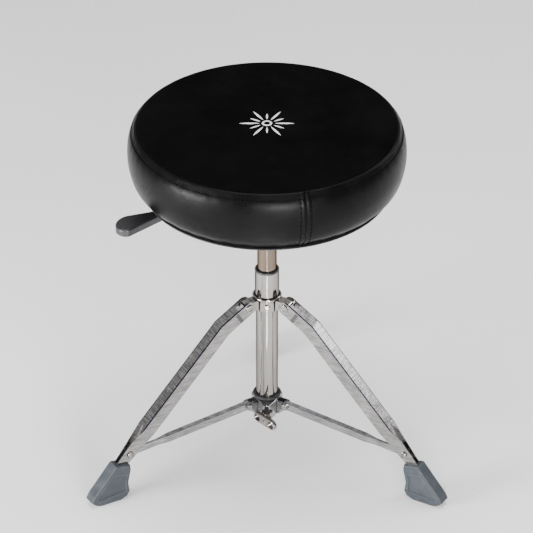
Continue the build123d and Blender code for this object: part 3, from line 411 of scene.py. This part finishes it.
def make_materials():
    MATERIALS["chrome"] = chrome("chrome_plate", (0.43, 0.405, 0.38), 0.09)
    for node, azimuth in LEGS.items():
        MATERIALS[node] = pressed_chrome(f"{node}_chrome", (0.47, 0.46, 0.445), 0.20, azimuth)
    MATERIALS["pressed_chrome"] = pressed_chrome("pressed_chrome", (0.50, 0.50, 0.50), 0.16)
    MATERIALS["cylinder_chrome"] = chrome("ground_chrome", (0.235, 0.185, 0.145), 0.10)
    MATERIALS["steel"] = steel()
    MATERIALS["black_steel"] = painted()
    MATERIALS["black_plastic"] = plastic("black_plastic", (0.010, 0.010, 0.011), (0.022, 0.022, 0.024), 0.38)
    MATERIALS["rubber"] = rubber()
    MATERIALS["vinyl"] = vinyl()
    MATERIALS["velour"] = velour()
    MATERIALS["black_thread"] = thread("black_thread", (0.0015, 0.0015, 0.0015), (0.005, 0.005, 0.005))
    MATERIALS["emblem_thread"] = thread("white_thread", (0.62, 0.62, 0.61), (0.92, 0.92, 0.91))
    MATERIALS["plywood"] = wood()
    MATERIALS["dust_cloth"] = dust_cloth()


def dress_frame():
    """Give every CAD node the material of its record slot, with pressed legs and braces apart."""
    slots = {row["node"]: row["material_slot"] for row in frame["record"]["subparts"]}
    pressed = ("brace_1", "brace_2", "brace_3", "collar_cap")
    for name, piece in frame["nodes"].items():
        key = slots[name]
        if name in pressed:
            key = "pressed_chrome"
        elif name in LEGS:
            key = name
        if key == "foam":
            continue
        piece.data.materials.clear()
        piece.data.materials.append(MATERIALS[key])


# ---------------------------------------------------------------- mesh helpers
def link_mesh(name, vertices, faces, material):
    mesh = bpy.data.meshes.new(name)
    mesh.from_pydata([tuple(v) for v in vertices], [], [tuple(f) for f in faces])
    mesh.validate()
    mesh.polygons.foreach_set("use_smooth", [True] * len(mesh.polygons))
    mesh.materials.append(material)
    piece = bpy.data.objects.new(name, mesh)
    bpy.context.scene.collection.objects.link(piece)
    return piece


def lathe(rows, columns, point, first_closed=None, last_closed=None):
    """Grid of rows round the axis; a closed end gets a fan to its own centre point."""
    vertices = [point(i, j) for i in range(rows) for j in range(columns)]
    faces = []
    for i in range(rows - 1):
        for j in range(columns):
            k = (j + 1) % columns
            faces.append((i * columns + j, i * columns + k, (i + 1) * columns + k, (i + 1) * columns + j))
    if first_closed is not None:
        vertices.append(first_closed)
        centre = len(vertices) - 1
        faces += [(centre, (j + 1) % columns, j) for j in range(columns)]
    if last_closed is not None:
        vertices.append(last_closed)
        centre = len(vertices) - 1
        start = (rows - 1) * columns
        faces += [(centre, start + j, start + (j + 1) % columns) for j in range(columns)]
    return vertices, faces


# ---------------------------------------------------------------- cushion
SIDE_ROWS = 41  # rows of the simulated side, bottom to seam
TOP_ROWS = 24  # rows of the simulated top, seam to centre
RING = 180  # columns of the simulated cover
SIM_FRAMES = 20
SIM_CAP = 3.0 * MM  # most that the stuffing may push the cover out of its sewn shape


def side_profile(t):
    """Unstuffed side of the cover at rest length t (0 bottom edge, 1 panel seam)."""
    points = [
        (TRIM_R + 2.0 * MM, COVER_Z - 4.5 * MM),
        (SEAT_R - 9.0 * MM, COVER_Z + 12.0 * MM),
        (SEAT_R - 2.4 * MM, COVER_Z + 32.0 * MM),
        (SEAT_R - 0.7 * MM, COVER_Z + 52.5 * MM),
        (SEAT_R - 3.4 * MM, COVER_Z + 72.5 * MM),
        (PANEL_R + 0.6 * MM, SEAM_Z),
    ]
    knots = np.linspace(0.0, 1.0, len(points))
    r = catmull(knots, [p[0] for p in points], t)
    z = catmull(knots, [p[1] for p in points], t)
    return r, z


def catmull(knots, values, t):
    """Smooth curve through evenly spaced values."""
    n = len(values) - 1
    x = min(max(t, 0.0), 1.0) * n
    i = min(int(x), n - 1)
    f = x - i
    ext = [2 * values[0] - values[1], *values, 2 * values[-1] - values[-2]]
    a, b, c, d = ext[i : i + 4]
    return 0.5 * (2 * b + (c - a) * f + (2 * a - 5 * b + 4 * c - d) * f**2 + (3 * b - a - 3 * c + d) * f**3)


def top_profile(s):
    """Top panel from its seam (s = 0) to the centre (s = 1)."""
    r = PANEL_R * (1.0 - s)
    z = SEAM_Z + (CROWN_Z - SEAM_Z) * (1.0 - (r / PANEL_R) ** 2) * 0.9
    return r, z


def stuff_cover():
    """Blow the sewn cover up against its seams with cloth; returns a point per row and column."""
    angles = [2 * math.pi * j / RING for j in range(RING)]
    profile = [side_profile(i / (SIDE_ROWS - 1)) for i in range(SIDE_ROWS)]
    profile += [top_profile((i + 1) / TOP_ROWS) for i in range(TOP_ROWS - 1)]
    rows = len(profile)

    def point(i, j):
        r, z = profile[i]
        return (r * math.cos(angles[j]), r * math.sin(angles[j]), z)

    rest = np.array([[point(i, j) for j in range(RING)] for i in range(rows)])
    vertices, faces = lathe(rows, RING, point, (0, 0, COVER_Z - 4.5 * MM), (0, 0, CROWN_Z))
    faces = [f[::-1] for f in faces]
    piece = link_mesh("cover_sim", vertices, faces, MATERIALS["vinyl"])
    pins = piece.vertex_groups.new(name="pins")
    held = [j for j in range(RING)] + [rows * RING]
    pins.add(held, 1.0, "REPLACE")
    seam = [(SIDE_ROWS - 1) * RING + j for j in range(RING)]
    pins.add(seam, 0.85, "REPLACE")
    top = [i * RING + j for i in range(SIDE_ROWS, rows) for j in range(RING)] + [rows * RING + 1]
    pins.add(top, 0.35, "REPLACE")
    cloth = piece.modifiers.new("cloth", "CLOTH")
    settings = cloth.settings
    settings.quality = 6
    settings.mass = 0.3
    settings.tension_stiffness = 25
    settings.compression_stiffness = 25
    settings.shear_stiffness = 12
    settings.bending_stiffness = 1.5
    settings.use_pressure = True
    settings.uniform_pressure_force = 4.0
    settings.vertex_group_mass = "pins"
    settings.effector_weights.gravity = 0.0
    cloth.collision_settings.use_collision = False
    scene = bpy.context.scene
    for f in range(1, SIM_FRAMES + 1):
        scene.frame_set(f)
    done = piece.evaluated_get(bpy.context.evaluated_depsgraph_get())
    blown = np.array([v.co[:] for v in done.data.vertices])[: rows * RING].reshape(rows, RING, 3)
    shift = blown - rest
    size = np.linalg.norm(shift, axis=2, keepdims=True)
    shift *= np.minimum(1.0, SIM_CAP / np.maximum(size, 1e-9))
    bpy.data.objects.remove(piece)
    scene.frame_set(1)
    return rest + shift


SIDE_SEAM = math.radians(270 + 16.0)  # the cover's upright seam, a little right of the front
STITCHES = 228  # stitches round the top seam
COLUMNS = STITCHES * 5
TOPSTITCH = 0.885  # place of the topstitch row along the side, 0 bottom to 1 seam
SEAM_ROW = 7.4 * MM  # distance of each stitch row from the upright seam
SEAM_ROW_STITCHES = 12


class Cover:
    """The stuffed cover as a smooth function of place along the profile and angle."""

    def __init__(self):
        grid = stuff_cover()
        self.radius = np.hypot(grid[..., 0], grid[..., 1])
        self.height = grid[..., 2]

    def sample(self, row, angle):
        """Radius and height at a fractional row and an angle."""
        i = min(int(row), self.radius.shape[0] - 2)
        f = row - i
        a = (angle / (2 * math.pi)) % 1.0 * RING
        j = int(a) % RING
        g = a - int(a)
        k = (j + 1) % RING
        out = []
        for field in (self.radius, self.height):
            low = field[i, j] * (1 - g) + field[i, k] * g
            high = field[i + 1, j] * (1 - g) + field[i + 1, k] * g
            out.append(low * (1 - f) + high * f)
        return out

    def side(self, t, angle):
        return self.sample(t * (SIDE_ROWS - 1), angle)

    def top(self, s, angle):
        return self.sample(SIDE_ROWS - 1 + s * (TOP_ROWS - 1), angle)


def seam_angle(angle):
    """Signed angle from the upright seam, in radians."""
    return (angle - SIDE_SEAM + math.pi) % (2 * math.pi) - math.pi


def side_point(cover, t, angle, lift=0.0):
    """Point on the vinyl side with its seams, stitch dimples and puckers pressed in."""
    r, z = cover.side(t, angle)
    e = 0.01
    r1, z1 = cover.side(min(t + e, 1.0), angle)
    r0, z0 = cover.side(max(t - e, 0.0), angle)
    dr, dz = r1 - r0, z1 - z0
    length = math.hypot(dr, dz)
    normal = (dz / length, -dr / length)
    across = seam_angle(angle) * SEAT_R
    depth = 1.5 * MM * math.exp(-((across / (0.9 * MM)) ** 2))
    depth -= 0.45 * MM * math.exp(-(((abs(across) - 3.5 * MM) / (2.4 * MM)) ** 2))
    stitch = math.cos(angle * STITCHES)
    row = math.exp(-(((t - TOPSTITCH) / 0.014) ** 2))
    depth += row * (0.04 - 0.24 * stitch) * MM
    edge = math.exp(-((1.0 - t) / 0.014) ** 2)
    depth += 1.0 * MM * edge
    pucker = math.sin(angle * 57 + 1.3 * math.sin(angle * 9)) * math.exp(-(((t - 0.86) / 0.07) ** 2))
    depth += 0.12 * MM * pucker
    low = math.exp(-((t / 0.06) ** 2))
    depth += 0.10 * MM * low * math.sin(angle * 83 + 2.0 * math.sin(angle * 7))
    for side in (-1, 1):
        near = across - side * SEAM_ROW
        depth += 0.06 * MM * math.exp(-((near / (0.9 * MM)) ** 2))
    r += normal[0] * (lift - depth)
    z += normal[1] * (lift - depth)
    return Vector((r * math.cos(angle), r * math.sin(angle), z))


def column_angles():
    """Even angles, with extra columns close to the upright seam."""
    even = [2 * math.pi * j / COLUMNS for j in range(COLUMNS)]
    span = 10.5 * MM / SEAT_R
    fine = [SIDE_SEAM + span * (k / 21.0) for k in range(-21, 22)]
    kept = [a for a in even if abs(seam_angle(a)) > span * 1.02]
    return sorted((a % (2 * math.pi)) for a in kept + fine)


def make_side_cover(cover):
    """Vinyl side panel: from under the trim, round the bulge, up to the panel seam."""
    angles = column_angles()
    coarse = list(np.linspace(0.0, 0.83, 36))
    dense = list(np.linspace(0.84, 0.93, 28))
    rest = list(np.linspace(0.938, 1.0, 16))
    steps = coarse + dense + rest
    tuck_r, tuck_z = TRIM_R - 5.0 * MM, COVER_Z - 4.0 * MM

    def point(i, j):
        angle = angles[j]
        if i == 0:
            return (tuck_r * math.cos(angle), tuck_r * math.sin(angle), tuck_z)
        if i == len(steps) + 1:
            p = side_point(cover, 1.0, angle, -4.0 * MM)
            return tuple(p - Vector((math.cos(angle), math.sin(angle), 0)) * 2.0 * MM)
        return tuple(side_point(cover, steps[i - 1], angle))

    vertices, faces = lathe(len(steps) + 2, len(angles), point)
    piece = link_mesh("side_cover_vinyl", vertices, faces, MATERIALS["vinyl"])
    solid = piece.modifiers.new("thickness", "SOLIDIFY")
    solid.thickness = 1.0 * MM
    solid.offset = -1.0
    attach(piece, "seat")
    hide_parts("side_cover", "foam_cushion")


def make_trim():
    """Welt that hides the cover's staples round the bottom edge."""
    # points of the welt's section from the trim's radius and the cover's bottom, millimetres
    section = [(-4.5, -3.9), (2.2, -4.7), (4.8, -5.6), (5.0, -6.6), (4.2, -7.6), (-4.5, -8.2)]

    around = 240

    def point(i, j):
        angle = 2 * math.pi * j / around
        r = TRIM_R + section[i][0] * MM
        return (r * math.cos(angle), r * math.sin(angle), COVER_Z + section[i][1] * MM)

    vertices, faces = lathe(len(section), around, point)
    last = (len(section) - 1) * around
    faces += [(last + j, last + (j + 1) % around, (j + 1) % around, j) for j in range(around)]
    faces = [f[::-1] for f in faces]
    piece = link_mesh("edge_welt", vertices, faces, MATERIALS["black_plastic"])
    soft = piece.modifiers.new("round", "BEVEL")
    soft.width = 0.5 * MM
    soft.segments = 2
    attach(piece, "seat")
    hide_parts("edge_trim")


def make_top_panel(cover):
    """Velour panel: crowned disc whose edge rolls down into the seam."""
    rows, columns = 90, 360
    angles = [2 * math.pi * j / columns for j in range(columns)]

    def point(i, j):
        angle = angles[j]
        s = (i / rows) ** 1.6
        r, z = cover.top(s, angle)
        edge = (PANEL_R - r) / (2.6 * MM)
        z -= 1.6 * MM * math.exp(-max(edge, 0.0) ** 2)
        z += 0.35 * MM * math.sin(3 * angle + 0.6) * (r / PANEL_R) ** 2 * (1 - (r / PANEL_R) ** 6)
        grow = 0.6 * MM * math.exp(-max(edge, 0.0) ** 2)
        return ((r + grow) * math.cos(angle), (r + grow) * math.sin(angle), z)

    centre = (0, 0, cover.top(1.0, 0.0)[1])
    vertices, faces = lathe(rows, columns, point, last_closed=centre)
    skirt = len(vertices)
    for j in range(columns):
        x, y, z = vertices[j]
        k = 1.0 - 1.2 * MM / PANEL_R
        vertices.append((x * k, y * k, z - 3.0 * MM))
    faces += [(skirt + j, skirt + (j + 1) % columns, (j + 1) % columns, j) for j in range(columns)]
    piece = link_mesh("top_panel_velour", vertices, faces, MATERIALS["velour"])
    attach(piece, "seat")
    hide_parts("top_panel")


def capsule(vertices, faces, a, b, up, width, height):
    """One stitch: a short arched strand between two points, dipping into the cover at its ends."""
    a, b, up = Vector(a), Vector(b), Vector(up).normalized()
    run = b - a
    side = run.cross(up).normalized()
    start = len(vertices)
    rings, around = 5, 6
    for i in range(rings):
        f = i / (rings - 1)
        swell = math.sin(math.pi * (0.12 + 0.76 * f))
        centre = a + run * f + up * (height * (swell - 0.45))
        for k in range(around):
            turn = 2 * math.pi * k / around
            offset = side * (math.cos(turn) * width / 2) + up * (math.sin(turn) * width / 2)
            vertices.append(centre + offset * (0.55 + 0.45 * swell))
    for i in range(rings - 1):
        for k in range(around):
            n = (k + 1) % around
            low = start + i * around
            high = low + around
            faces.append((low + k, low + n, high + n, high + k))
    faces.append([start + k for k in range(around)][::-1])
    faces.append([start + (rings - 1) * around + k for k in range(around)])


def make_stitching(cover):
    """Topstitch round the shoulder and a row each side of the upright seam."""
    vertices, faces = [], []
    for n in range(STITCHES):
        middle = 2 * math.pi * (n + 0.5) / STITCHES
        half = 2 * math.pi * 0.28 / STITCHES
        if abs(seam_angle(middle)) * SEAT_R < 2.0 * MM:
            continue
        a = side_point(cover, TOPSTITCH, middle - half)
        b = side_point(cover, TOPSTITCH, middle + half)
        up = side_point(cover, TOPSTITCH, middle, 3 * MM) - side_point(cover, TOPSTITCH, middle)
        capsule(vertices, faces, a, b, up, 2.1 * MM, 0.45 * MM)
    pitch = (TOPSTITCH - 0.055) / SEAM_ROW_STITCHES
    for side in (-1, 1):
        angle = SIDE_SEAM + side * SEAM_ROW / SEAT_R
        for n in range(SEAM_ROW_STITCHES):
            low = 0.045 + pitch * n
            high = low + pitch * 0.60
            a = side_point(cover, low, angle)
            b = side_point(cover, high, angle)
            up = side_point(cover, low, angle, 3 * MM) - a
            capsule(vertices, faces, a, b, up, 1.9 * MM, 0.4 * MM)
    piece = link_mesh("cover_stitching", vertices, faces, MATERIALS["black_thread"])
    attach(piece, "seat")


def make_emblem(cover):
    """Generic sunburst embroidered in white satin stitch on the panel's centre."""
    vertices, faces = [], []

    def ground(x, y):
        r = math.hypot(x, y)
        return cover.top(1.0 - r / PANEL_R, math.atan2(y, x))[1]

    def lozenge(angle, inner, outer, half):
        """A slim leaf of parallel threads, raised in the middle."""
        along = Vector((math.cos(angle), math.sin(angle), 0))
        across = Vector((-along.y, along.x, 0))
        rows, ribs = 7, 34
        start = len(vertices)
        for i in range(ribs + 1):
            f = i / ribs
            width = half * math.sin(math.pi * (0.02 + 0.96 * f)) ** 0.8
            for k in range(rows):
                g = k / (rows - 1) * 2 - 1
                p = along * (inner + (outer - inner) * f) + across * (g * width)
                rise = 0.75 * MM * (1 - g * g) ** 0.5 * (0.55 + 0.45 * math.sin(math.pi * f)) - 0.15 * MM
                rise += 0.07 * MM * (1 if i % 2 else -1) * (1 - g * g)
                vertices.append((p.x, p.y, ground(p.x, p.y) + rise))
        for i in range(ribs):
            for k in range(rows - 1):
                a = start + i * rows + k
                faces.append((a, a + rows, a + rows + 1, a + 1))

    for n in range(6):
        lozenge(math.radians(60 * n), 11 * MM, 38 * MM, 2.0 * MM)
        lozenge(math.radians(60 * n + 30), 11 * MM, 27 * MM, 1.6 * MM)
    around, across = 72, 6
    start = len(vertices)
    for i in range(around):
        turn = 2 * math.pi * i / around
        for k in range(across):
            g = k / (across - 1) * 2 - 1
            r = 5.8 * MM + g * 1.3 * MM
            x, y = r * math.cos(turn), r * math.sin(turn)
            rise = 0.7 * MM * (1 - g * g) ** 0.5 - 0.15 * MM + 0.06 * MM * (1 if i % 2 else -1)
            vertices.append((x, y, ground(x, y) + rise))
    for i in range(around):
        n = (i + 1) % around
        for k in range(across - 1):
            here, ahead = start + i * across + k, start + n * across + k
            faces.append((here, ahead, ahead + 1, here + 1))
    piece = link_mesh("seat_emblem_thread", vertices, faces, MATERIALS["emblem_thread"])
    solid = piece.modifiers.new("thickness", "SOLIDIFY")
    solid.thickness = 0.3 * MM
    solid.offset = -1.0
    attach(piece, "seat")
    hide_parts("seat_emblem")


# ---------------------------------------------------------------- stage
def area_light(name, place, target, energy, size, size_y):
    """Soft box of the given width and height, turned to face its target."""
    data = bpy.data.lights.new(name, "AREA")
    data.shape = "RECTANGLE"
    data.size = size
    data.size_y = size_y
    data.energy = energy
    lamp = bpy.data.objects.new(name, data)
    lamp.location = place
    lamp.rotation_euler = (Vector(target) - Vector(place)).to_track_quat("-Z", "Y").to_euler()
    bpy.context.scene.collection.objects.link(lamp)
    return lamp


def make_stage():
    """Flat pale floor, a plain sky that is lighter overhead, and soft boxes."""
    mesh = bmesh.new()
    floor_half = 6.0
    for x, y in ((-1, -1), (1, -1), (1, 1), (-1, 1)):
        mesh.verts.new((x * floor_half, y * floor_half, 0))
    mesh.faces.new(mesh.verts)
    data = bpy.data.meshes.new("floor")
    mesh.to_mesh(data)
    mesh.free()
    material, nodes, links, shader = new_material("pale_floor")
    at = coords(nodes)
    cloud = noise(nodes, links, at, 2.0)
    paint(nodes, links, shader, cloud, [(0.3, (0.88, 0.88, 0.88)), (0.7, (0.90, 0.90, 0.90))])
    shader.inputs["Roughness"].default_value = 0.8
    data.materials.append(material)
    floor = bpy.data.objects.new("floor", data)
    bpy.context.scene.collection.objects.link(floor)
    world = bpy.data.worlds.new("studio")
    world.use_nodes = True
    nodes, links = world.node_tree.nodes, world.node_tree.links
    at = nodes.new("ShaderNodeTexCoord").outputs["Generated"]
    split = nodes.new("ShaderNodeSeparateXYZ")
    links.new(at, split.inputs["Vector"])
    height = remap(nodes, links, split.outputs["Z"], 0.0, 1.0, -0.1, 1.0)
    dark, dim, pale, bright = (0.04, 0.04, 0.05), (0.05, 0.05, 0.06), (0.52, 0.52, 0.53), (0.72, 0.72, 0.74)
    sky = ramp(nodes, links, height, [(0.0, dark), (0.20, dim), (0.38, pale), (1.0, bright)])
    links.new(sky, nodes["Background"].inputs["Color"])
    nodes["Background"].inputs["Strength"].default_value = 1.0
    bpy.context.scene.world = world
    centre = (0, 0, 0.35)
    area_light("key", (-1.92, -1.12, 0.52), centre, 100, 1.0, 0.45)
    area_light("front", (0.45, -2.3, 0.62), centre, 78, 0.8, 0.45)
    strip = area_light("strip", (-0.004, -0.62, 0.02), (-0.004, -0.3, 0.6), 0.9, 0.014, 0.7)
    strip.rotation_euler = (math.pi, 0.0, 0.0)  # lies on the floor in front and faces straight up
    area_light("top", (0.1, 0.2, 3.0), (0, 0, 0), 70, 1.8, 1.8)
    area_light("rim", (1.9, 0.9, 1.4), centre, 14, 0.4, 1.2)


make_camera()
make_materials()
dress_frame()
COVER = Cover()
make_side_cover(COVER)
make_top_panel(COVER)
make_trim()
make_stitching(COVER)
make_emblem(COVER)
make_stage()
